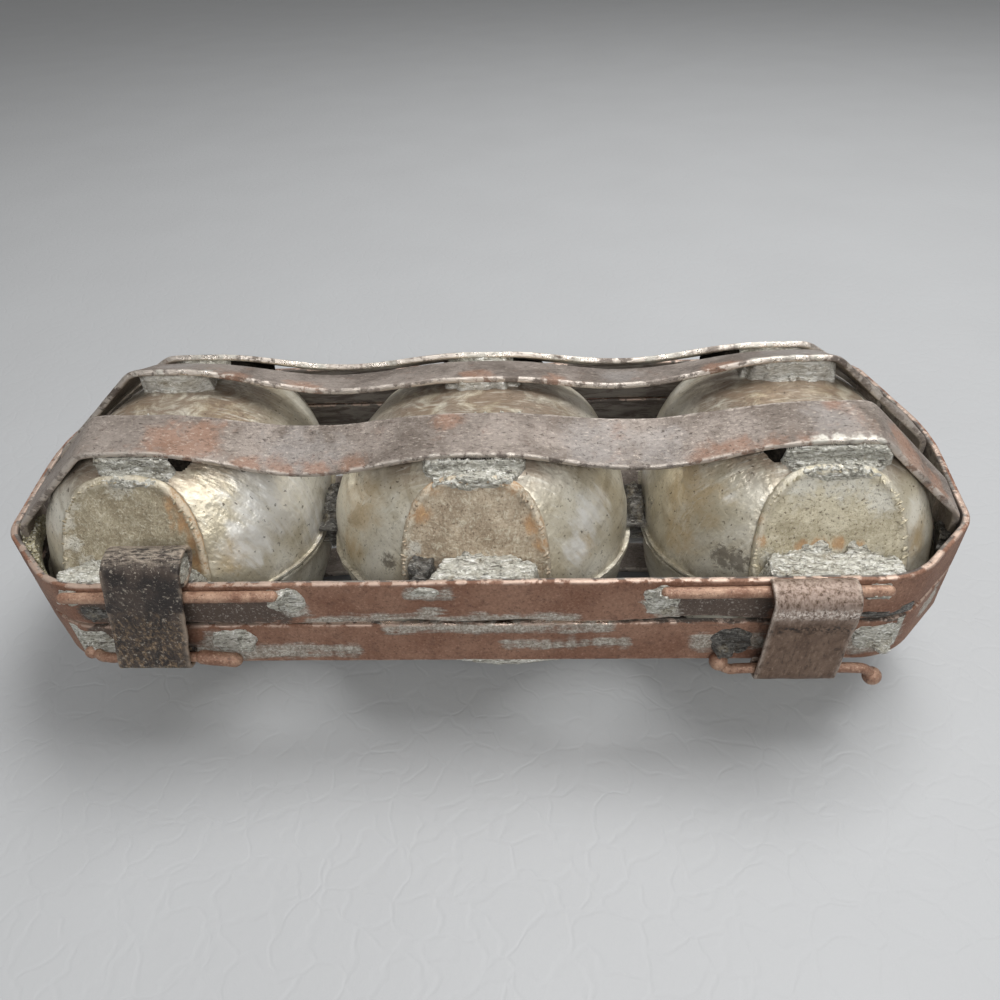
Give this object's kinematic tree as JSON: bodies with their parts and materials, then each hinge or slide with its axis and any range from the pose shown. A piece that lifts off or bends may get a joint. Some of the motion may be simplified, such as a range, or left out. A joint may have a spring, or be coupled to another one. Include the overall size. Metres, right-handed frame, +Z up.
{
  "type": "hinged chocolate mould",
  "caption": "Antique hinged chocolate mould: tinned egg-shaped half-shells in iron frames, strapped and soldered, held shut by swinging clips.",
  "frame": {"origin": "middle of the closed mould's footprint, on the surface that it lies on", "axes": "+X along the mould, to the right clip; +Y from the clips to the hinge; +Z up, towards the lid's straps"},
  "size_m": [0.2374, 0.1094, 0.0772],
  "materials": {
    "tinned_sheet": "old tinned sheet, scratched and yellowed",
    "end_plate": "dull tinned sheet with rust stains",
    "strap_iron": "grey-brown strap iron with worn edges",
    "band_iron": "matt red-brown rust",
    "solder": "flaky, dull silver solder",
    "rusted_wire": "rusted wire",
    "dark_clip_iron": "near-black speckled sheet",
    "brown_clip_iron": "brown sheet",
    "hinge_iron": "dull rusted sheet"
  },
  "bodies": {
    "lower_half": {"lower_shell_left": "tinned_sheet", "lower_end_plate_left": "end_plate", "lower_rail_solder_left": "solder", "lower_solder_front_left": "solder", "lower_solder_middle_left": "solder", "lower_solder_rear_left": "solder", "lower_shell_center": "tinned_sheet", "lower_end_plate_center": "end_plate", "lower_rail_solder_center": "solder", "lower_solder_front_center": "solder", "lower_solder_middle_center": "solder", "lower_solder_rear_center": "solder", "lower_shell_right": "tinned_sheet", "lower_end_plate_right": "end_plate", "lower_rail_solder_right": "solder", "lower_solder_front_right": "solder", "lower_solder_middle_right": "solder", "lower_solder_rear_right": "solder", "lower_strap_front": "strap_iron", "lower_strap_middle": "strap_iron", "lower_strap_rear": "strap_iron", "lower_frame_band": "band_iron", "pivot_wire_left": "rusted_wire", "hinge_leaf_lower_left": "hinge_iron", "hinge_pin_left": "hinge_iron", "pivot_wire_right": "rusted_wire", "hinge_leaf_lower_right": "hinge_iron", "hinge_pin_right": "hinge_iron"},
    "upper_half": {"upper_shell_left": "tinned_sheet", "upper_end_plate_left": "end_plate", "upper_rail_solder_left": "solder", "upper_solder_front_left": "solder", "upper_solder_middle_left": "solder", "upper_solder_rear_left": "solder", "upper_shell_center": "tinned_sheet", "upper_end_plate_center": "end_plate", "upper_rail_solder_center": "solder", "upper_solder_front_center": "solder", "upper_solder_middle_center": "solder", "upper_solder_rear_center": "solder", "upper_shell_right": "tinned_sheet", "upper_end_plate_right": "end_plate", "upper_rail_solder_right": "solder", "upper_solder_front_right": "solder", "upper_solder_middle_right": "solder", "upper_solder_rear_right": "solder", "upper_strap_front": "strap_iron", "upper_strap_middle": "strap_iron", "upper_strap_rear": "strap_iron", "upper_frame_band": "band_iron", "catch_wire_left": "rusted_wire", "hinge_leaf_upper_left": "hinge_iron", "catch_wire_right": "rusted_wire", "hinge_leaf_upper_right": "hinge_iron"},
    "clip_left": {"clip_left": "dark_clip_iron"},
    "clip_right": {"clip_right": "brown_clip_iron"}
  },
  "joints": [
    {"name": "lid_hinge", "type": "hinge", "parent": "lower_half", "child": "upper_half", "pos_m": [0, 0.05195, 0.03769], "axis": [-1, 0, 0], "range_deg": [0, 180]},
    {"name": "clip_left_swing", "type": "hinge", "parent": "lower_half", "child": "clip_left", "pos_m": [-0.0755, -0.05125, 0.03029], "axis": [1, 0, 0], "range_deg": [0, 110]},
    {"name": "clip_right_swing", "type": "hinge", "parent": "lower_half", "child": "clip_right", "pos_m": [0.0728, -0.05125, 0.02529], "axis": [1, 0, 0], "range_deg": [0, 110]}
  ]
}
